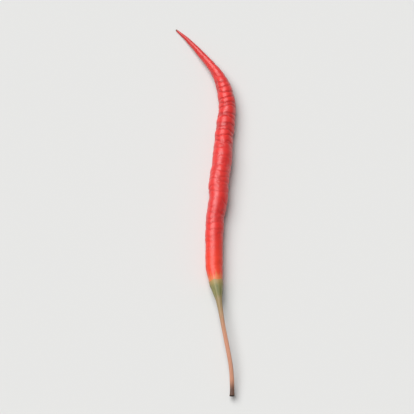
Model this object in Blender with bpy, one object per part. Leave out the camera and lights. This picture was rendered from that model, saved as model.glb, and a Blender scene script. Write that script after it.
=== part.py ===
"""A long red curly chilli as picked, lying on a flat surface: its pod, its calyx and its stalk.

Metres, +Z up. It lies along Y on the plane Z = 0, with its stalk towards -Y, its tip towards +Y, and
the tip hooked towards -X. The origin is under the middle of its bounding box.
"""

import math

import bmesh
import bpy
from mathutils import Vector

# Pod. Distances along the chilli are measured on its middle line, from the pod's hidden base.
POD_LENGTH = 0.161
POD_DIAMETER = 0.0102  # at the belly
POD_TIP_DIAMETER = 0.0009
POD_BASE_ROUND = 0.0030  # length over which the hidden base rounds off
POD_OUTLINE = [  # (share of the length, share of the belly's radius), calyx end first
    (0.00, 0.50),
    (0.037, 0.65),
    (0.075, 0.82),
    (0.13, 0.87),
    (0.26, 0.92),
    (0.42, 1.00),
    (0.56, 0.92),
    (0.67, 0.84),
    (0.735, 0.73),
    (0.79, 0.52),
    (0.85, 0.38),
    (0.93, 0.24),
]
POD_BASE_HEADING = 8.0  # degrees to the left of +Y
POD_BENDS = [  # (middle, spread, degrees to the left), as shares of the length
    (0.13, 0.30, -14.0),
    (0.72, 0.22, 40.0),
    (0.91, 0.14, 10.0),
]
POD_WAVE = 2.5  # degrees that the curly pod's heading swings each way
POD_WAVE_LENGTH = 0.026
POD_CHAMBERS = 3
POD_LOBE = 0.030  # each seed chamber bulges by this share of the radius
POD_LOBE_TWIST = 9.0  # radians per metre
POD_SWELLING = 0.018  # lengthwise swellings, as a share of the radius
POD_SWELLING_LENGTH = 0.015
POD_SWELLING_SLANT = 1.3  # radians by which a swelling lags on one side
POD_PLAIN_BASE, POD_PLAIN_TIP = 0.12, 0.25  # shares of the length over which all this fades out
POD_STANCE = [  # (from, to, clear height between): the places, as shares, where it touches the surface
    (0.14, 0.64, 0.0007),
    (0.64, 0.985, 0.0013),
]
POD_BASE_LIFT = 0.0008  # how much higher the base lies than the first place that touches

# Calyx, the green cap that grips the pod's base.
CALYX_LENGTH = 0.0104  # from its teeth's mean line back to the stalk
CALYX_GRIP = 0.0058  # how far that line reaches up the pod from its base
CALYX_WALL = 0.0004  # at the rim
CALYX_TEETH = 5
CALYX_TOOTH = 0.0008  # how far a tooth stands out from the mean line
CALYX_RIB = 0.050  # a rib runs down from each tooth, this share of the radius high

# Stalk.
STALK_LENGTH = 0.052
STALK_DIAMETER = 0.0021
STALK_JOINT_DIAMETER = 0.0031  # where it swells into the calyx
STALK_END_DIAMETER = 0.0028  # the knuckle where it snapped off the plant
STALK_SWELL = 0.014  # length of the taper below the calyx
STALK_KNUCKLE = 0.0030  # length of the flare at the free end
STALK_RIB = 0.045
STALK_BENDS = [  # as the pod's, going from the calyx to the free end
    (0.25, 0.30, 2.0),
    (0.75, 0.45, -10.0),
]
STALK_DIPS = [(0.10, 0.30, -4.0), (0.60, 0.70, -9.0)]  # the same, in degrees upwards

CLEARANCE = 0.0003  # between pieces that touch

SIDES = 20  # round each piece, a whole number for each of the calyx's teeth
POD_RINGS = 80
STALK_RINGS = 34
CAP_RINGS = 5
CUP_RINGS = 10
WALK_STEP = 0.0005
SLOPE_STEP = 0.00003

UP = Vector((0.0, 0.0, 1.0))


def eased(x):
    x = min(1.0, max(0.0, x))
    return x * x * (3.0 - 2.0 * x)


def turned(share, bends):
    """The angle turned by this share of a length, in radians."""
    degrees = sum(turn * eased((share - middle) / spread + 0.5) for middle, spread, turn in bends)
    return math.radians(degrees)


def on_outline(share, outline):
    """A smooth curve through an outline's points, at this share of its length."""
    if share <= outline[0][0]:
        return outline[0][1]
    for i in range(len(outline) - 1):
        (x1, y1), (x2, y2) = outline[i], outline[i + 1]
        if share <= x2:
            x0, y0 = outline[max(i - 1, 0)]
            x3, y3 = outline[min(i + 2, len(outline) - 1)]
            slope1 = (y2 - y0) / (x2 - x0)
            slope2 = (y3 - y1) / (x3 - x1)
            t = (share - x1) / (x2 - x1)
            a = 2 * t**3 - 3 * t**2 + 1
            b = t**3 - 2 * t**2 + t
            c = t**3 - t**2
            return a * y1 + b * (x2 - x1) * slope1 + (1 - a) * y2 + c * (x2 - x1) * slope2
    return outline[-1][1]


def direction(heading, pitch):
    """A unit vector: heading 0 is +Y and turns left, pitch 0 is level."""
    flat = math.cos(pitch)
    return Vector((-math.sin(heading) * flat, math.cos(heading) * flat, math.sin(pitch)))


class MiddleLine:
    """A bent line, walked in short steps. at(distance) gives the place and the direction there."""

    def __init__(self, start, length, heading, pitch, height=None):
        steps = math.ceil(length / WALK_STEP)
        self.step = length / steps
        self.places = [start.copy()]
        for i in range(steps):
            middle = (i + 0.5) * self.step
            self.places.append(self.places[-1] + self.step * direction(heading(middle), pitch(middle)))
        if height:
            for i, place in enumerate(self.places):
                place.z = height(i * self.step)

    def at(self, distance):
        """Before the start and past the end the line goes straight on."""
        i = min(max(int(distance / self.step), 0), len(self.places) - 2)
        before = self.places[max(i - 1, 0)]
        after = self.places[min(i + 2, len(self.places) - 1)]
        run = self.places[i + 1] - self.places[i]
        return self.places[i] + run * (distance / self.step - i), (after - before).normalized()


def ring_point(line, distance, radius, angle):
    """A point beside the line: angle 0 is to its right and a quarter turn is above it."""
    place, forward = line.at(distance)
    right = forward.cross(UP).normalized()
    above = right.cross(forward)
    return place + radius * (math.cos(angle) * right + math.sin(angle) * above)


def angles():
    return [2 * math.pi * i / SIDES for i in range(SIDES)]


def lofted(name, rings, first, last, color, roughness):
    """One closed solid through rings of points, with a point closing each end."""
    bm = bmesh.new()
    loops = [[bm.verts.new(point) for point in ring] for ring in rings]
    ends = [bm.verts.new(first), bm.verts.new(last)]
    for i in range(SIDES):
        j = (i + 1) % SIDES
        for near, far in zip(loops, loops[1:]):
            bm.faces.new((near[i], near[j], far[j], far[i]))
        bm.faces.new((ends[0], loops[0][j], loops[0][i]))
        bm.faces.new((ends[1], loops[-1][i], loops[-1][j]))
    bmesh.ops.recalc_face_normals(bm, faces=bm.faces)
    mesh = bpy.data.meshes.new(name)
    bm.to_mesh(mesh)
    bm.free()
    mesh.shade_smooth()
    mesh.set_sharp_from_angle(angle=math.radians(50))
    material = bpy.data.materials.new(name)
    material.use_nodes = True
    shader = material.node_tree.nodes["Principled BSDF"]
    shader.inputs["Base Color"].default_value = (*color, 1.0)
    shader.inputs["Roughness"].default_value = roughness
    shader.inputs["Metallic"].default_value = 0.0
    mesh.materials.append(material)
    piece = bpy.data.objects.new(name, mesh)
    bpy.context.scene.collection.objects.link(piece)
    return piece


# Pod


def mean_radius(share):
    """The outline's radius at this share of the pod's length, before its ends are rounded off."""
    outline = [*POD_OUTLINE, (1.0, POD_TIP_DIAMETER / POD_DIAMETER)]
    return POD_DIAMETER / 2 * on_outline(share, outline)


def pod_radius(distance):
    """The pod's mean radius, rounded off at its base and at its tip."""
    base = min(1.0, max(0.0, distance / POD_BASE_ROUND))
    tip = min(1.0, max(0.0, (POD_LENGTH - distance) / POD_TIP_DIAMETER))
    rounding = math.sqrt(1 - (1 - base) ** 2) * math.sqrt(1 - (1 - tip) ** 2)
    return mean_radius(distance / POD_LENGTH) * rounding


def pod_shape(distance, angle):
    """How much the chambers and swellings add to the pod's radius, as a factor."""
    share = distance / POD_LENGTH
    fade = eased(share / POD_PLAIN_BASE) * eased((1 - share) / POD_PLAIN_TIP)
    chambers = math.cos(POD_CHAMBERS * angle + POD_LOBE_TWIST * distance)
    slant = POD_SWELLING_SLANT * math.sin(angle)
    swellings = math.sin(2 * math.pi * distance / POD_SWELLING_LENGTH + slant)
    return 1 + fade * (POD_LOBE * chambers + POD_SWELLING * swellings)


def pod_reach(distance, angle):
    """How far the pod's skin is from its middle line at this angle."""
    return pod_radius(distance) * pod_shape(distance, angle)


def pod_heading(distance):
    share = distance / POD_LENGTH
    swing = POD_WAVE * math.sin(2 * math.pi * distance / POD_WAVE_LENGTH)
    heading = POD_BASE_HEADING + swing * eased(share / POD_PLAIN_BASE)
    return math.radians(heading) + turned(share, POD_BENDS)


def pod_height(distance):
    """The middle line's height: the radius under it, and what lifts it off the surface.

    From the first place that touches back to the base it only rises, however much the pod narrows.
    """
    share = distance / POD_LENGTH
    first = POD_STANCE[0][0]
    lift = POD_BASE_LIFT * max(0.0, 1 - share / first) ** 2
    for start, end, rise in POD_STANCE:
        if start < share < end:
            lift += rise * math.sin(math.pi * (share - start) / (end - start)) ** 2
    under = mean_radius(max(share, first))
    return under * pod_shape(max(distance, first * POD_LENGTH), -math.pi / 2) + lift


def pod_line():
    return MiddleLine(Vector(), POD_LENGTH, pod_heading, lambda distance: 0.0, pod_height)


def pod_stations():
    """Distances of the pod's rings, closer together where its ends round off."""
    quarter = [1 - math.cos(math.pi / 2 * (i + 1) / (CAP_RINGS + 1)) for i in range(CAP_RINGS)]
    body_start, body_end = POD_BASE_ROUND, POD_LENGTH - POD_TIP_DIAMETER
    body = [body_start + (body_end - body_start) * i / (POD_RINGS - 1) for i in range(POD_RINGS)]
    base = [POD_BASE_ROUND * share for share in quarter]
    tip = [POD_LENGTH - POD_TIP_DIAMETER * share for share in reversed(quarter)]
    return [*base, *body, *tip]


def make_pod(line):
    rings = []
    for distance in pod_stations():
        rings.append([ring_point(line, distance, pod_reach(distance, a), a) for a in angles()])
    return lofted("pod", rings, line.at(0.0)[0], line.at(POD_LENGTH)[0], (0.62, 0.016, 0.010), 0.28)


# Calyx


def ribbed(angle, height):
    """A factor on the radius, highest in line with each tooth."""
    return 1 + height * math.cos(CALYX_TEETH * angle)


def rim_distance(angle):
    return CALYX_GRIP + CALYX_TOOTH * math.cos(CALYX_TEETH * angle)


def cup_points(angle):
    """(distance, radius) along the wall of the cup at this angle, from the rim to the pod's base."""
    points = []
    for i in range(CUP_RINGS):
        distance = rim_distance(angle) * math.cos(math.pi / 2 * i / CUP_RINGS)
        rise = pod_radius(distance + SLOPE_STEP) - pod_radius(distance - SLOPE_STEP)
        gap = CLEARANCE * Vector((-rise, 2 * SLOPE_STEP)).normalized()
        points.append((distance + gap.x, pod_reach(distance, angle) + gap.y))
    return points


def outside_points(angle):
    """(distance, radius) along the calyx's outside at this angle, from the stalk to the rim."""
    back = CALYX_GRIP - CALYX_LENGTH
    rim, cup_radius = cup_points(angle)[0]
    narrow, wide = STALK_JOINT_DIAMETER / 2, cup_radius + CALYX_WALL
    points = []
    for i in range(CUP_RINGS):
        share = i / (CUP_RINGS - 1)
        distance = back + (rim - back) * share
        funnel = narrow + (wide - narrow) * share
        cover = pod_reach(distance, angle) + CLEARANCE + CALYX_WALL if distance > 0 else 0.0
        points.append((distance, max(funnel, cover) * ribbed(angle, CALYX_RIB * (1 - share))))
    return points


def make_calyx(line):
    walls = [outside_points(a) + cup_points(a) for a in angles()]
    rings = []
    for i in range(2 * CUP_RINGS):
        rings.append([ring_point(line, *wall[i], a) for wall, a in zip(walls, angles())])
    back, _ = line.at(CALYX_GRIP - CALYX_LENGTH)
    cup_floor, _ = line.at(-CLEARANCE)
    return lofted("calyx", rings, back, cup_floor, (0.150, 0.190, 0.045), 0.55)


# Stalk


def stalk_line(pod):
    start, forward = pod.at(CALYX_GRIP - CALYX_LENGTH - CLEARANCE)
    heading = math.atan2(forward.x, -forward.y)
    pitch = math.asin(-forward.z)
    return MiddleLine(
        start,
        STALK_LENGTH,
        lambda distance: heading + turned(distance / STALK_LENGTH, STALK_BENDS),
        lambda distance: pitch + turned(distance / STALK_LENGTH, STALK_DIPS),
    )


def stalk_radius(distance):
    swell = (STALK_JOINT_DIAMETER - STALK_DIAMETER) / 2
    flare = (STALK_END_DIAMETER - STALK_DIAMETER) / 2
    joint = max(0.0, 1 - distance / STALK_SWELL) ** 2
    knuckle = max(0.0, 1 - (STALK_LENGTH - distance) / STALK_KNUCKLE) ** 2
    return STALK_DIAMETER / 2 + swell * joint + flare * knuckle


def make_stalk(line):
    rings = []
    for i in range(STALK_RINGS):
        distance = STALK_LENGTH * eased(i / (STALK_RINGS - 1))
        radius = stalk_radius(distance)
        rings.append([ring_point(line, distance, radius * ribbed(a, STALK_RIB), a) for a in angles()])
    return lofted("stalk", rings, line.at(0.0)[0], line.at(STALK_LENGTH)[0], (0.300, 0.290, 0.110), 0.60)


def main():
    for old in list(bpy.data.objects):
        bpy.data.objects.remove(old)
    line = pod_line()
    pieces = [make_pod(line), make_calyx(line), make_stalk(stalk_line(line))]
    corners = [vertex.co for piece in pieces for vertex in piece.data.vertices]
    low = Vector(min(corner[i] for corner in corners) for i in range(3))
    high = Vector(max(corner[i] for corner in corners) for i in range(3))
    chilli = bpy.data.objects.new("chilli", None)
    bpy.context.scene.collection.objects.link(chilli)
    chilli.location = (-(low.x + high.x) / 2, -(low.y + high.y) / 2, -low.z)
    for piece in pieces:
        piece.parent = chilli


main()
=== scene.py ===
"""A long red curly chilli as picked: its wrinkled pod, the green calyx that grips it, and its stalk."""

import math

import bmesh
import bpy
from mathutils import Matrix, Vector, noise


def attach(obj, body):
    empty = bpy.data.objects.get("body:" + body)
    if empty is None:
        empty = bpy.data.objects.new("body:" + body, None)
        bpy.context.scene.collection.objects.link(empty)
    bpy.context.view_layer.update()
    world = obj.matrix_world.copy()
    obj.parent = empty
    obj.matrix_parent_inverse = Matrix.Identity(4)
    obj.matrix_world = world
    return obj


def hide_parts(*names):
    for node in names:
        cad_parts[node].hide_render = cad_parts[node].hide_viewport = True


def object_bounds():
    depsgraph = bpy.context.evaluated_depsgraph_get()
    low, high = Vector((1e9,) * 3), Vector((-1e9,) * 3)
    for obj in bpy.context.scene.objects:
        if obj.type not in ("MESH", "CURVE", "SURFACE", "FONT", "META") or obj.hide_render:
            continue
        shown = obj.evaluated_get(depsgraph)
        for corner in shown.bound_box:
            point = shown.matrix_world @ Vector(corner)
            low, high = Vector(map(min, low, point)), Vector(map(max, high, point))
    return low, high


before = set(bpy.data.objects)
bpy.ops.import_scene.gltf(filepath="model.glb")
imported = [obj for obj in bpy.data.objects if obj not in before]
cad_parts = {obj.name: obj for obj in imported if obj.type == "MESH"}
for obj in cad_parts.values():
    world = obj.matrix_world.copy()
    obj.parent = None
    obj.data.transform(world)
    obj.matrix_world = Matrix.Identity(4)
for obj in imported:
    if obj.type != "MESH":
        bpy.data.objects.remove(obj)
cad_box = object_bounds()


# Pod. The ripe fruit: a thin fleshy wall under a waxy red skin, swollen between creases that run
# across it, with three shallow flutes for its seed chambers. It grew as one piece from its hidden base
# to its fine tip.

POD_HIDDEN = 0.0058  # how much of the pod's base the calyx covers
SECTION_STEP = 0.0022  # between the sections that are read from the solids
END_STEPS = (0.0003, 0.0008, 0.0015)  # sections are closer together near the ends
POINT_RADIUS = 0.0001  # at the point that closes each end

DEEP_RED = (0.640, 0.012, 0.010)
BRIGHT_RED = (0.760, 0.022, 0.016)
STREAK_RED = (0.800, 0.040, 0.026)
# painted shade: the dark red that the creases are darkened towards
PAINTED_CREASE_SHADE = (0.300, 0.003, 0.004)
SHOULDER_RED = (0.840, 0.050, 0.012)
RIM_ORANGE = (0.700, 0.215, 0.070)
TIP_RED = (0.430, 0.008, 0.006)
TIP_BROWN = (0.130, 0.045, 0.020)
SHOULDER_LENGTH = 0.034  # over which the shoulder's tint fades
SHOULDER_STREAKS = 0.012  # how far streaks reach across the tint's edge
RIM_BAND = (0.001, 0.0055)  # where the orange next to the calyx starts to fade and ends
WAX_LENGTH = 0.045  # over which the wax thickens from the calyx
TIP_BAND = (0.004, 0.030)  # the same as RIM_BAND for the tip's deeper red
REMNANT_BAND = (0.0004, 0.0018)  # and for the flower's dry remnant at the tip


def stations(low, high):
    """Places from low to high at which sections are read, the ends left out."""
    inner_low, inner_high = low + END_STEPS[-1], high - END_STEPS[-1]
    count = round((inner_high - inner_low) / SECTION_STEP)
    inner = [inner_low + (inner_high - inner_low) * i / count for i in range(count + 1)]
    return [low + s for s in END_STEPS[:-1]] + inner + [high - s for s in reversed(END_STEPS[:-1])]


def end_point(section, next_section):
    """The point that closes an end, straight on from its last two sections."""
    step = section[0] - next_section[0]
    return section[0] + step * END_STEPS[0] / (END_STEPS[1] - END_STEPS[0]), POINT_RADIUS


def sections_of(name):
    """(middle, mean radius) of a node's sections along Y, with a point at each end."""
    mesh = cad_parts[name].data
    points = [vertex.co for vertex in mesh.vertices]
    spans = [(points[edge.vertices[0]], points[edge.vertices[1]]) for edge in mesh.edges]
    sections = []
    for y in stations(min(point.y for point in points), max(point.y for point in points)):
        cuts = [a.lerp(b, (y - a.y) / (b.y - a.y)) for a, b in spans if (a.y < y) != (b.y < y)]
        middle = sum(cuts, Vector()) / len(cuts)
        spread = sum((cut.z - middle.z) ** 2 for cut in cuts) / len(cuts)
        sections.append((middle, math.sqrt(2 * spread)))
    first, last = end_point(sections[0], sections[1]), end_point(sections[-1], sections[-2])
    return [first, *sections, last]


def distances_of(sections):
    """The distance of each section from the first, along the middle line."""
    distances = [0.0]
    for (near, _), (far, _) in zip(sections, sections[1:]):
        distances.append(distances[-1] + (far - near).length)
    return distances


class Wire:
    """A node's socket. Arithmetic on it adds Math nodes, and node() adds any other node."""

    def __init__(self, tree, socket=None):
        self.tree = tree
        self.socket = socket

    def node(self, kind, settings=None, inputs=None, output=0):
        """Adds a node with these settings and with values or wires on its inputs."""
        made = self.tree.nodes.new(kind)
        for name, value in (settings or {}).items():
            setattr(made, name, value)
        for name, value in (inputs or {}).items():
            if isinstance(value, Wire):
                self.tree.links.new(value.socket, made.inputs[name])
            else:
                made.inputs[name].default_value = value
        return Wire(self.tree, made.outputs[output] if made.outputs else None)

    def other(self, output):
        """Another output of the same node."""
        return Wire(self.tree, self.socket.node.outputs[output])

    def math(self, operation, *values):
        """A Math node of this value and the others, in that order."""
        return self.node("ShaderNodeMath", {"operation": operation}, dict(enumerate((self, *values))))

    def math_from(self, value, operation):
        """A Math node of a plain value and this one, in that order."""
        return self.node("ShaderNodeMath", {"operation": operation}, {0: value, 1: self})

    def __add__(self, other):
        return self.math("ADD", other)

    def __radd__(self, other):
        return self.math_from(other, "ADD")

    def __sub__(self, other):
        return self.math("SUBTRACT", other)

    def __rsub__(self, other):
        return self.math_from(other, "SUBTRACT")

    def __mul__(self, other):
        return self.math("MULTIPLY", other)

    def __rmul__(self, other):
        return self.math_from(other, "MULTIPLY")

    def __truediv__(self, other):
        return self.math("DIVIDE", other)

    def __rtruediv__(self, other):
        return self.math_from(other, "DIVIDE")

    def __neg__(self):
        return self * -1.0

    def eased(self, low, high, start=0.0, end=1.0):
        """Start at low, end at high and past them, and a smooth step between."""
        sizes = {"Value": self, "From Min": low, "From Max": high, "To Min": start, "To Max": end}
        return self.node("ShaderNodeMapRange", {"interpolation_type": "SMOOTHSTEP"}, sizes)

    def vector(self, y, z):
        """A vector of this and two more values."""
        return self.node("ShaderNodeCombineXYZ", None, {"X": self, "Y": y, "Z": z})

    def noise(self, seed, detail=1.0, roughness=0.5):
        """Noise over this vector, about a half."""
        sizes = {"Vector": self, "W": seed, "Scale": 1.0, "Detail": detail, "Roughness": roughness}
        return self.node("ShaderNodeTexNoise", {"noise_dimensions": "4D"}, sizes)

    def blend(self, a, b):
        """Colour a where this is 0 and colour b where it is 1."""
        # On a Mix node, input 0 is the factor, 6 and 7 are the colours, and output 2 is the colour.
        colors = {6: a if isinstance(a, Wire) else (*a, 1.0), 7: b if isinstance(b, Wire) else (*b, 1.0)}
        return self.node("ShaderNodeMix", {"data_type": "RGBA"}, {0: self, **colors}, 2)


def grown_skin():
    """Geometry Nodes that sweep a skin round a middle line: lobes, swellings and creased wrinkles.

    Lengths are in metres. Depths are shares of the radius, and the twist is in radians per metre.
    """
    tree = bpy.data.node_groups.new("grown skin", "GeometryNodeTree")
    sockets = {
        "Middle line": "Geometry",
        "Rings": "Int",
        "Sides": "Int",
        "Lobes": "Int",
        "Lobe depth": "Float",
        "Lobe twist": "Float",
        "Swelling depth": "Float",
        "Swelling length": "Float",
        "Wrinkle depth": "Float",
        "Wrinkle length": "Float",
        "Wrinkle width": "Float",
        "Wrinkle evenness": "Float",
        "Patch length": "Float",
        "Smooth start": "Float",
        "Smooth end": "Float",
        "Seed": "Float",
        "Material": "Material",
    }
    for name, kind in sockets.items():
        tree.interface.new_socket(name, in_out="INPUT", socket_type="NodeSocket" + kind)
    tree.interface.new_socket("Skin", in_out="OUTPUT", socket_type="NodeSocketGeometry")
    given = Wire(tree).node("NodeGroupInput")
    size = {name: given.other(name) for name in sockets}

    def keep(geometry, name, value, kind="FLOAT"):
        """Stores a value at every point under a name."""
        stored = {"data_type": kind, "domain": "POINT"}
        inputs = {"Geometry": geometry, "Name": name, "Value": value}
        return given.node("GeometryNodeStoreNamedAttribute", stored, inputs)

    def read(name, kind="FLOAT"):
        """The value stored at every point under a name."""
        return given.node("GeometryNodeInputNamedAttribute", {"data_type": kind}, {"Name": name})

    place = given.node("GeometryNodeInputPosition")
    spline = given.node("GeometryNodeSplineParameter")

    line = given.node("GeometryNodeMeshToCurve", None, {"Mesh": size["Middle line"]})
    line = given.node("GeometryNodeCurveSplineType", {"spline_type": "CATMULL_ROM"}, {"Curve": line})
    resample = {"Curve": line, "Count": size["Rings"]}
    line = given.node("GeometryNodeResampleCurve", {"mode": "COUNT"}, resample)
    line = given.node("GeometryNodeSetCurveNormal", {"mode": "Z_UP"}, {"Curve": line})
    line = keep(line, "middle", place, "FLOAT_VECTOR")
    line = keep(line, "along", spline.other("Length"))
    line = keep(line, "to_end", 1.0 - spline)

    ring = given.node("GeometryNodeCurvePrimitiveCircle", None, {"Resolution": size["Sides"], "Radius": 1.0})
    turn = spline * (2 * math.pi)
    ring = keep(ring, "across", turn.math("COSINE"))
    ring = keep(ring, "above", -turn.math("SINE"))

    sweep = {"Curve": line, "Profile Curve": ring, "Scale": read("half"), "Fill Caps": True}
    skin = given.node("GeometryNodeCurveToMesh", None, sweep)

    along, across, above = read("along"), read("across"), read("above")
    middle = read("middle", "FLOAT_VECTOR")
    outward = given.node("ShaderNodeVectorMath", {"operation": "SUBTRACT"}, {0: place, 1: middle})
    half = outward.node("ShaderNodeVectorMath", {"operation": "LENGTH"}, {0: outward}, 1)

    def pattern(length, around, seed, **texture):
        """Noise as long as the named size and finer round the skin the larger around is.

        Each use has a seed of its own, counted from the given one.
        """
        spot = (along / size[length]).vector(across * around, above * around)
        return spot.noise(size["Seed"] + seed, **texture)

    angle = above.math("ARCTAN2", across)
    lobes = (angle * size["Lobes"] + along * size["Lobe twist"]).math("COSINE") * size["Lobe depth"]
    swellings = (pattern("Swelling length", 0.5, 0.0) - 0.5) * size["Swelling depth"] * 2.0

    # A crease runs where the flow is 0. Beside it the skin puffs up until the flow is crease_width.
    crease_width = 0.19
    flow = pattern("Wrinkle length", half / size["Wrinkle width"], 5.0, detail=1.5, roughness=0.35) - 0.5
    wander = pattern("Patch length", 0.8, 7.0) * 9.0
    rings = (along / size["Wrinkle length"] * math.pi + wander).math("SINE")
    flow = flow + rings * size["Wrinkle evenness"]
    rise = (flow.math("ABSOLUTE") / crease_width).math("MINIMUM", 1.0)
    puff = 1.0 - (1.0 - rise) * (1.0 - rise)

    # Wrinkles are stronger in patches. They and the rest fade at the start, and wrinkles at the end.
    # The whole length is the distance along over the share of the way.
    patch = pattern("Patch length", 0.6, 9.0).eased(0.38, 0.62, 0.40, 1.0)
    starting = along.eased(0.0, size["Smooth start"], 0.12, 1.0)
    whole = along / (1.0 - read("to_end") + 0.0001)
    ending = (read("to_end") * whole).eased(0.0, size["Smooth end"])
    strength = patch * starting * ending

    # The crease depth also sets where the skin's material paints shade into the creases.
    skin = keep(skin, "crease", (1.0 - puff) * strength)
    skin = keep(skin, "skin", along.vector(across, above), "FLOAT_VECTOR")
    wrinkles = (puff - 0.6) * size["Wrinkle depth"] * strength
    stretch = {0: outward, 3: (lobes + swellings) * starting + wrinkles}
    moved = outward.node("ShaderNodeVectorMath", {"operation": "SCALE"}, stretch)
    skin = given.node("GeometryNodeSetPosition", None, {"Geometry": skin, "Offset": moved})
    for name in ("middle", "along", "to_end", "across", "above", "half"):
        skin = given.node("GeometryNodeRemoveAttribute", None, {"Geometry": skin, "Name": name})
    skin = given.node("GeometryNodeSetShadeSmooth", None, {"Geometry": skin})
    skin = given.node("GeometryNodeRealizeInstances", None, {"Geometry": skin})
    skin = given.node("GeometryNodeSetMaterial", None, {"Geometry": skin, "Material": size["Material"]})
    given.node("NodeGroupOutput", None, {"Skin": skin})
    return tree


def grown(name, sections, tree, sizes):
    """The plain mesh that a tree of Geometry Nodes makes round a middle line."""
    line = bpy.data.meshes.new(name)
    count = len(sections)
    line.from_pydata([middle for middle, _ in sections], [(i, i + 1) for i in range(count - 1)], [])
    half = line.attributes.new("half", "FLOAT", "POINT")
    half.data.foreach_set("value", [radius for _, radius in sections])
    piece = bpy.data.objects.new(name, line)
    bpy.context.scene.collection.objects.link(piece)
    modifier = piece.modifiers.new(name, "NODES")
    modifier.node_group = tree
    for socket in tree.interface.items_tree:
        if socket.name in sizes:
            modifier[socket.identifier] = sizes[socket.name]
    grown_piece = piece.evaluated_get(bpy.context.evaluated_depsgraph_get())
    mesh = bpy.data.meshes.new_from_object(grown_piece)
    piece.modifiers.remove(modifier)
    piece.data = mesh
    return piece


def material(name):
    """A new material, with its Principled shader and a wire to build on."""
    made = bpy.data.materials.new(name)
    made.use_nodes = True
    return made, made.node_tree.nodes["Principled BSDF"], Wire(made.node_tree)


def plug(shader, inputs):
    """Sets or links the shader's inputs."""
    for name, value in inputs.items():
        if isinstance(value, Wire):
            value.tree.links.new(value.socket, shader.inputs[name])
        else:
            shader.inputs[name].default_value = value


def kept_value(wire, name):
    """A value stored on the mesh, for a material."""
    return wire.node("ShaderNodeAttribute", {"attribute_name": name}, None, "Fac")


def skin_place(wire):
    """The distance along a piece, and the cosine and sine of the angle round it, for a material."""
    skin = wire.node("ShaderNodeAttribute", {"attribute_name": "skin"}, None, "Vector")
    split = skin.node("ShaderNodeSeparateXYZ", None, {0: skin})
    return split, split.other("Y"), split.other("Z")


def skin_noise(place, lengthwise, around, seed, detail):
    """Noise on a skin, finer along it (per metre) and round it the larger those two numbers are."""
    along, across, above = place
    return (along * lengthwise).vector(across * around, above * around).noise(seed, detail)


def pod_skin(length):
    """Waxy red: orange at the shoulder, painted shade in the creases, and deeper red towards the tip."""
    made, shader, wire = material("pod_skin")
    place = skin_place(wire)
    along = place[0]
    crease = kept_value(wire, "crease")
    to_tip = length - along

    blotch = skin_noise(place, lengthwise=60.0, around=0.8, seed=2.0, detail=3.0)
    bloom = skin_noise(place, lengthwise=190.0, around=1.2, seed=5.0, detail=2.0)
    streak = skin_noise(place, lengthwise=25.0, around=4.0, seed=4.0, detail=3.0)
    from_rim = along - POD_HIDDEN
    from_rim_streaked = from_rim + (streak - 0.5) * SHOULDER_STREAKS
    color = blotch.eased(0.3, 0.7).blend(DEEP_RED, BRIGHT_RED)
    color = (streak.eased(0.45, 0.75) * 0.35).blend(color, STREAK_RED)
    color = from_rim_streaked.eased(0.0, SHOULDER_LENGTH, 0.85, 0.0).blend(color, SHOULDER_RED)
    color = from_rim_streaked.eased(*RIM_BAND, 0.85, 0.0).blend(color, RIM_ORANGE)
    # Painted shade: the creases are darkened where the swollen skin beside them would shade them.
    color = (crease * 0.55).blend(color, PAINTED_CREASE_SHADE)
    color = to_tip.eased(*TIP_BAND, 0.5, 0.0).blend(color, TIP_RED)
    color = to_tip.eased(*REMNANT_BAND, 1.0, 0.0).blend(color, TIP_BROWN)

    grain = skin_noise(place, lengthwise=1600.0, around=14.0, seed=6.0, detail=3.0)
    peel = skin_noise(place, lengthwise=900.0, around=4.5, seed=8.0, detail=2.0)
    bump = wire.node("ShaderNodeBump", None, {"Strength": 0.35, "Distance": 0.00012, "Height": grain + peel})
    plug(
        shader,
        {
            "Base Color": color,
            "Roughness": blotch.eased(0.3, 0.7, 0.48, 0.58) + crease * 0.15,
            "Normal": bump,
            "Coat Weight": from_rim.eased(0.0, WAX_LENGTH, 0.5, 1.0) * bloom.eased(0.35, 0.65, 0.6, 1.0),
            "Coat Roughness": 0.35,
            "Coat IOR": 1.5,
            "Subsurface Weight": 0.12,
            "Subsurface Radius": (0.0040, 0.0008, 0.0005),
            "Subsurface Scale": 1.0,
            "IOR": 1.42,
        },
    )
    return made


pod_sections = sections_of("pod")
skin_tree = grown_skin()
pod = grown(
    "pod_skin",
    pod_sections,
    skin_tree,
    {
        "Rings": 700,
        "Sides": 128,
        "Lobes": 3,
        "Lobe depth": 0.03,
        "Lobe twist": 14.0,
        "Swelling depth": 0.07,
        "Swelling length": 0.008,
        "Wrinkle depth": 0.105,
        "Wrinkle length": 0.0033,
        "Wrinkle width": 0.014,
        "Wrinkle evenness": 0.12,
        "Patch length": 0.022,
        "Smooth start": 0.075,
        "Smooth end": 0.020,
        "Seed": 9.0,
        "Material": pod_skin(distances_of(pod_sections)[-1]),
    },
)
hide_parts("pod")
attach(pod, "root")


# Calyx. The green cap left from the flower: a funnel that the stalk widens into, with a vein running up
# to each of its five small teeth, and a thin lip that clings to the pod's shoulder. It is one tissue with
# the stalk, so it begins inside the stalk's skin.

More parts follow.
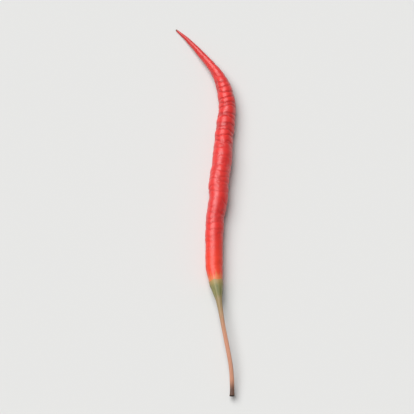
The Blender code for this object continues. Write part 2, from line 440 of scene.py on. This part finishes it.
CALYX_RINGS = 64
CALYX_SIDES = 180
LIP = 0.00020  # thickness at the rim
LIP_BLEND = 0.0003  # how softly the funnel turns into the lip
LIP_SINK = 0.00006  # takes back what that softness adds
LIP_RINGS = (  # (share of the way to the rim, depth under the pod's skin): over the rim and back inside
    (1.003, -0.00010),
    (0.998, 0.00003),
    (0.97, 0.00015),
    (0.85, 0.00015),
    (0.72, 0.00015),
    (0.64, 0.00015),
)
LEAST_RADIUS = 0.0003  # of the cap's inside
TEETH = 5
TOOTH = 0.0008  # how far a tooth stands up from the rim
TOOTH_SIZES = (1.0, 0.6, 1.2, 0.75, 0.9)
TOOTH_TURN = math.radians(36)  # from the right-hand side to the first vein
TOOTH_WIDTH = 0.27  # radians, as the next two
VEIN_WIDTH = 0.15
SIDE_VEIN_WIDTH = 0.13
VEIN = 0.00019  # how far a vein stands out, as the next
SIDE_VEIN = 0.00007
SIDE_VEIN_PALENESS = 0.4  # against a main vein's
VEIN_START = 0.3  # share of the funnel over which veins come up
VEIN_FLATTENING = 0.6  # how much of a main vein's height is gone at the rim
RIM_WAVES = 11  # the rim's unevenness, as the next
RIM_WAVE = 0.00004

JOINT_OVERLAP = 0.0022  # how far the calyx and the stalk run into each other
JOINT_SINK = 0.00025  # how deep inside the stalk's skin the calyx starts
JOINT_SWELL = 0.00008  # added at the joint to the radius of the stalk's first whole section
JOINT_REACH = 0.0014  # from that section to the joint
FUNNEL_START = 0.6  # share of the overlap after which the calyx begins to widen
STALK_END_SECTIONS = 3  # left out at its ends, where sections do not follow its line
POD_END_SECTIONS = 4  # the same at the pod's blunt base

DARK_GREEN = (0.150, 0.155, 0.048)
LIGHT_GREEN = (0.255, 0.235, 0.085)
VEIN_GREEN = (0.390, 0.340, 0.150)
RIM_TAN = (0.430, 0.270, 0.100)
JOINT_GREEN = (0.310, 0.225, 0.105)  # on the calyx and on the stalk


def walker(sections):
    """A function of the distance along a smooth middle line that gives (place, direction, radius)."""
    distances = distances_of(sections)
    places, radii = zip(*sections)
    last = len(sections) - 1

    def slope(i, values):
        """How fast the values change with the distance at section i."""
        before, after = max(i - 1, 0), min(i + 1, last)
        return (values[after] - values[before]) / (distances[after] - distances[before])

    def between(i, share, values):
        """A smooth curve through the values, at this share of the way from section i to the next."""
        span = distances[i + 1] - distances[i]
        bend = values[i + 1] - values[i]
        leave, arrive = slope(i, values) * span, slope(i + 1, values) * span
        turn = 3 * bend - 2 * leave - arrive
        return values[i] + share * (leave + share * (turn + share * (leave + arrive - 2 * bend)))

    def walk(distance):
        """The place, direction and radius at this distance."""
        i = 0
        while i < last - 1 and distances[i + 1] < distance:
            i += 1
        share = (distance - distances[i]) / (distances[i + 1] - distances[i])
        ahead = between(i, share + 0.01, places) - between(i, share - 0.01, places)
        return between(i, share, places), ahead.normalized(), between(i, share, radii)

    return walk


def softly_larger(a, b, blend):
    """The larger of two values, with a soft change from one to the other where they are close."""
    return (a + b + math.hypot(a - b, blend)) / 2


def calyx_green():
    """Fresh green tissue with paler veins, yellower at the joint and dry along the rim."""
    made, shader, wire = material("calyx_green")
    place = skin_place(wire)
    vein, share = kept_value(wire, "vein"), kept_value(wire, "share")
    blotch = skin_noise(place, lengthwise=250.0, around=1.5, seed=1.0, detail=4.0)
    fibre = skin_noise(place, lengthwise=300.0, around=12.0, seed=3.0, detail=3.0)
    color = blotch.eased(0.3, 0.7).blend(DARK_GREEN, LIGHT_GREEN)
    color = (vein * 0.5).blend(color, VEIN_GREEN)
    color = share.eased(0.45, 0.15, 0.0, 1.0).blend(color, JOINT_GREEN)
    color = (share + (fibre - 0.5) * 0.20).eased(0.70, 1.0, 0.0, 0.75).blend(color, RIM_TAN)
    height = fibre * 0.7 + blotch * 0.5
    bump = wire.node("ShaderNodeBump", None, {"Strength": 0.5, "Distance": 0.00015, "Height": height})
    plug(
        shader,
        {
            "Base Color": color,
            "Roughness": fibre.eased(0.3, 0.7, 0.48, 0.62),
            "Normal": bump,
            "Coat Weight": 0.10,
            "Coat Roughness": 0.30,
            "Subsurface Weight": 0.10,
            "Subsurface Radius": (0.0010, 0.0014, 0.0004),
            "Subsurface Scale": 1.0,
        },
    )
    return made


def veins_and_tooth(angle):
    """How strongly a main vein and a side vein stand out at an angle, and how far the rim stands up."""
    spacing = 2 * math.pi / TEETH
    which = round((angle - TOOTH_TURN) / spacing)
    off = angle - TOOTH_TURN - which * spacing
    main = math.exp(-((off / VEIN_WIDTH) ** 2))
    side = math.exp(-(((abs(off) - spacing / 2) / SIDE_VEIN_WIDTH) ** 2))
    tooth = TOOTH_SIZES[which % TEETH] * math.exp(-(abs(off / TOOTH_WIDTH) ** 1.6))
    return main, side, tooth


stalk_ends = sections_of("stalk")[::-1]
(first_middle, first_radius), (next_middle, _) = stalk_ends[STALK_END_SECTIONS : STALK_END_SECTIONS + 2]
joint_direction = (first_middle - next_middle).normalized()
joint = first_middle + joint_direction * JOINT_REACH
joint_radius = first_radius + JOINT_SWELL

calyx_start = joint - joint_direction * JOINT_OVERLAP
calyx_line = [(calyx_start, 0.0), (joint, 0.0), *pod_sections[POD_END_SECTIONS:]]
calyx_length = distances_of(calyx_line)[2] + POD_HIDDEN - distances_of(pod_sections)[POD_END_SECTIONS]
walk = walker(calyx_line)
rim_radius = walk(calyx_length)[2] + LIP

bm = bmesh.new()
skin_layer = bm.verts.layers.float_vector.new("skin")
vein_layer = bm.verts.layers.float.new("vein")
share_layer = bm.verts.layers.float.new("share")


def calyx_ring(share, radius_at):
    """One ring of vertices at this share of the way from the stalk to the rim."""
    ring = []
    for i in range(CALYX_SIDES):
        angle = 2 * math.pi * i / CALYX_SIDES
        main, side, tooth = veins_and_tooth(angle)
        rim = calyx_length + TOOTH * tooth + RIM_WAVE * math.sin(RIM_WAVES * angle + 1.0)
        place, direction, pod_radius = walk(rim * share)
        right = direction.cross(Vector((0, 0, 1))).normalized()
        up = right.cross(direction)
        radius = radius_at(share, pod_radius, main, side)
        vert = bm.verts.new(place + radius * (math.cos(angle) * right + math.sin(angle) * up))
        vert[skin_layer] = (rim * share, math.cos(angle), math.sin(angle))
        vert[vein_layer] = main + SIDE_VEIN_PALENESS * side
        vert[share_layer] = share
        ring.append(vert)
    return ring


def outside(share, pod_radius, main, side):
    """The outer radius: sunk in the stalk's skin, then a funnel with veins that closes on the pod."""
    rise = max(0.0, share - JOINT_OVERLAP * FUNNEL_START / calyx_length)
    flare = rise**1.5 * (2.2 - 1.2 * rise)  # slow at the stalk, then fast, and level at the rim
    funnel = joint_radius + (rim_radius - joint_radius) * flare
    radius = softly_larger(funnel, pod_radius + LIP, LIP_BLEND) - LIP_SINK
    sunk = max(0.0, 1.0 - share * calyx_length / JOINT_OVERLAP)
    veins = VEIN * main * (1.0 - VEIN_FLATTENING * share) + SIDE_VEIN * side * rise
    return radius + veins * min(1.0, rise / VEIN_START) - JOINT_SINK * sunk**2


rings = [calyx_ring(k / (CALYX_RINGS - 1), outside) for k in range(CALYX_RINGS)]
for share, depth in LIP_RINGS:
    rings.append(calyx_ring(share, lambda _, pod_radius, *veins: max(pod_radius - depth, LEAST_RADIUS)))
for near, far in zip(rings, rings[1:]):
    for i in range(CALYX_SIDES):
        j = (i + 1) % CALYX_SIDES
        bm.faces.new((near[i], near[j], far[j], far[i]))
bm.faces.new(rings[0][::-1])
bm.faces.new(rings[-1])
bmesh.ops.recalc_face_normals(bm, faces=bm.faces)
calyx_mesh = bpy.data.meshes.new("calyx_cap")
bm.to_mesh(calyx_mesh)
bm.free()
calyx_mesh.shade_smooth()
calyx_mesh.materials.append(calyx_green())
calyx = bpy.data.objects.new("calyx_cap", calyx_mesh)
bpy.context.scene.collection.objects.link(calyx)
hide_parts("calyx")
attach(calyx, "root")


# Stalk. One slender stem of green tissue with five low ridges, drying to tan towards the knuckle where
# it snapped off the plant. The broken face is hollowed and ragged.

HIDDEN_END = 0.95  # the stalk's radius at its end inside the calyx, against the joint's
KNUCKLE_END = (0.0012, 0.00136)  # (length past the last whole section, radius there)
SNAP_RINGS = (  # (share of the broken face's radius, height): rounded over at its edge, then hollow
    (0.97, 0.00005),
    (0.90, 0.00002),
    (0.78, -0.00018),
    (0.60, -0.00034),
    (0.38, -0.00040),
    (0.15, -0.00032),
)
SNAP_RAG = 0.00016  # how far ragged bits stand up from the broken face
SNAP_RAG_SCALE = 1900.0  # ragged bits to the metre
SNAP_INSIDE = 0.0002  # how far past the stalk's length the broken face counts, for its colour

DRY_TAN = (0.545, 0.240, 0.145)
PALE_FIBRE = (0.660, 0.340, 0.220)
DARK_FIBRE = (0.280, 0.165, 0.070)
KNUCKLE_BROWN = (0.080, 0.030, 0.014)
SNAP_BROWN = (0.060, 0.030, 0.015)


def stalk_green(length):
    """Green at the calyx, then tan with fine fibres, and nearly black at the knuckle."""
    made, shader, wire = material("stalk_green")
    place = skin_place(wire)
    along = place[0]
    to_end = length - along
    blotch = skin_noise(place, lengthwise=90.0, around=1.2, seed=1.0, detail=4.0)
    fibre = skin_noise(place, lengthwise=60.0, around=8.0, seed=3.0, detail=3.0)
    drying = (along + (blotch - 0.5) * 0.02).eased(0.001, 0.024) * along.eased(0.002, 0.009)
    streaky = along.eased(0.002, 0.014, 0.15, 1.0)
    color = drying.blend(JOINT_GREEN, DRY_TAN)
    color = (fibre.eased(0.45, 0.75) * streaky * 0.5).blend(color, PALE_FIBRE)
    color = (fibre.eased(0.5, 0.2) * streaky * 0.4).blend(color, DARK_FIBRE)
    knuckle = (to_end + (blotch - 0.5) * 0.004).eased(0.0020, 0.0090, 0.95, 0.0)
    color = knuckle.blend(color, KNUCKLE_BROWN)
    color = to_end.eased(0.0, 0.0003, 1.0, 0.0).blend(color, SNAP_BROWN)
    height = fibre + blotch * 0.4
    bump = wire.node("ShaderNodeBump", None, {"Strength": 0.6, "Distance": 0.00015, "Height": height})
    plug(
        shader,
        {
            "Base Color": color,
            "Roughness": fibre.eased(0.3, 0.7, 0.50, 0.66),
            "Normal": bump,
            "Subsurface Weight": 0.06,
            "Subsurface Radius": (0.0008, 0.0008, 0.0003),
            "Subsurface Scale": 1.0,
        },
    )
    return made


def snap_end(mesh, length):
    """Replaces the flat cap at the free end with rings that dip into a torn face."""
    bm = bmesh.new()
    bm.from_mesh(mesh)
    layer = bm.verts.layers.float_vector["skin"]
    caps = [face for face in bm.faces if len(face.verts) > 4]
    cap = min(caps, key=lambda face: face.calc_center_median().y)
    middle, outward, near = cap.calc_center_median(), cap.normal.copy(), list(cap.verts)
    finish = cap.material_index
    bm.faces.remove(cap)
    edge = [vert.co.copy() for vert in near]
    for share, height in SNAP_RINGS:
        far = []
        for start in edge:
            place = middle.lerp(start, share)
            rag = SNAP_RAG * noise.noise(place * SNAP_RAG_SCALE) * min(1.0, share + 0.4)
            vert = bm.verts.new(place + outward * (height + rag))
            vert[layer] = (length + SNAP_INSIDE, 0.0, share)
            far.append(vert)
        for i in range(len(near)):
            j = (i + 1) % len(near)
            bm.faces.new((near[i], near[j], far[j], far[i])).material_index = finish
        near = far
    bm.faces.new(near).material_index = finish
    bmesh.ops.recalc_face_normals(bm, faces=bm.faces)
    bm.to_mesh(mesh)
    bm.free()
    mesh.shade_smooth()


stalk_sections = [
    (joint + joint_direction * JOINT_OVERLAP, joint_radius * HIDDEN_END),
    (joint, joint_radius),
    *stalk_ends[STALK_END_SECTIONS:-STALK_END_SECTIONS],
]
end_direction = (stalk_sections[-1][0] - stalk_sections[-2][0]).normalized()
knuckle_reach, knuckle_radius = KNUCKLE_END
stalk_sections.append((stalk_sections[-1][0] + end_direction * knuckle_reach, knuckle_radius))
stalk_length = distances_of(stalk_sections)[-1]
stalk = grown(
    "stalk_stem",
    stalk_sections,
    skin_tree,
    {
        "Rings": 300,
        "Sides": 72,
        "Lobes": 5,
        "Lobe depth": 0.06,
        "Lobe twist": 12.0,
        "Swelling depth": 0.10,
        "Swelling length": 0.012,
        "Wrinkle depth": 0.10,
        "Wrinkle length": 0.020,
        "Wrinkle width": 0.0008,
        "Wrinkle evenness": 0.0,
        "Patch length": 0.015,
        "Smooth start": 0.010,
        "Smooth end": 0.002,
        "Seed": 11.0,
        "Material": stalk_green(stalk_length),
    },
)
snap_end(stalk.data, stalk_length)
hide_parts("stalk")
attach(stalk, "root")


# Studio. A plain pale floor, soft light from the upper left, and a camera that looks down on the
# chilli, its stalk towards the viewer.

FLOOR = 12.0  # from its middle to each side
FLOOR_GREY = (0.66, 0.66, 0.65)
WINDOW_FROM = (-0.33, 0.30, 0.84)
WINDOW_STRENGTH = 3.5
WINDOW_SPREAD = math.radians(60)
ROOM_STRENGTH = 0.22
LOOK_DOWN = math.radians(65)
CAMERA_FAR = 3.0
CAMERA_ROLL = math.radians(-0.6)
FRAME_WIDTH = 0.212  # what the view takes in at that distance

floor_mesh = bpy.data.meshes.new("floor")
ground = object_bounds()[0][2]
corners = [(x * FLOOR, y * FLOOR, ground) for x, y in ((-1, -1), (1, -1), (1, 1), (-1, 1))]
floor_mesh.from_pydata(corners, [], [(0, 1, 2, 3)])
floor_finish, floor_shader, _ = material("floor")
plug(floor_shader, {"Base Color": (*FLOOR_GREY, 1.0), "Roughness": 0.9})
floor_mesh.materials.append(floor_finish)
floor = bpy.data.objects.new("floor", floor_mesh)
bpy.context.scene.collection.objects.link(floor)


def aimed(thing, place, target):
    """Puts a camera or a light at a place, looking at a target."""
    thing.location = place
    thing.rotation_euler = (target - place).to_track_quat("-Z", "Y").to_euler()
    bpy.context.scene.collection.objects.link(thing)


window = bpy.data.lights.new("window", "SUN")
window.energy = WINDOW_STRENGTH
window.angle = WINDOW_SPREAD
aimed(bpy.data.objects.new("window", window), Vector(WINDOW_FROM), Vector())

world = bpy.data.worlds.new("studio")
world.use_nodes = True
background = world.node_tree.nodes["Background"]
plug(background, {"Color": (1.0, 1.0, 1.0, 1.0), "Strength": ROOM_STRENGTH})
bpy.context.scene.world = world
bpy.context.scene.view_settings.view_transform = "Standard"

low, high = cad_box
middle = (Vector(low) + Vector(high)) / 2
lens = bpy.data.cameras.new("camera")
lens.angle = 2 * math.atan(FRAME_WIDTH / 2 / CAMERA_FAR)
camera = bpy.data.objects.new("camera", lens)
away = Vector((0, -math.cos(LOOK_DOWN), math.sin(LOOK_DOWN)))
aimed(camera, middle + CAMERA_FAR * away, middle)
camera.rotation_euler.rotate_axis("Z", CAMERA_ROLL)
bpy.context.scene.camera = camera
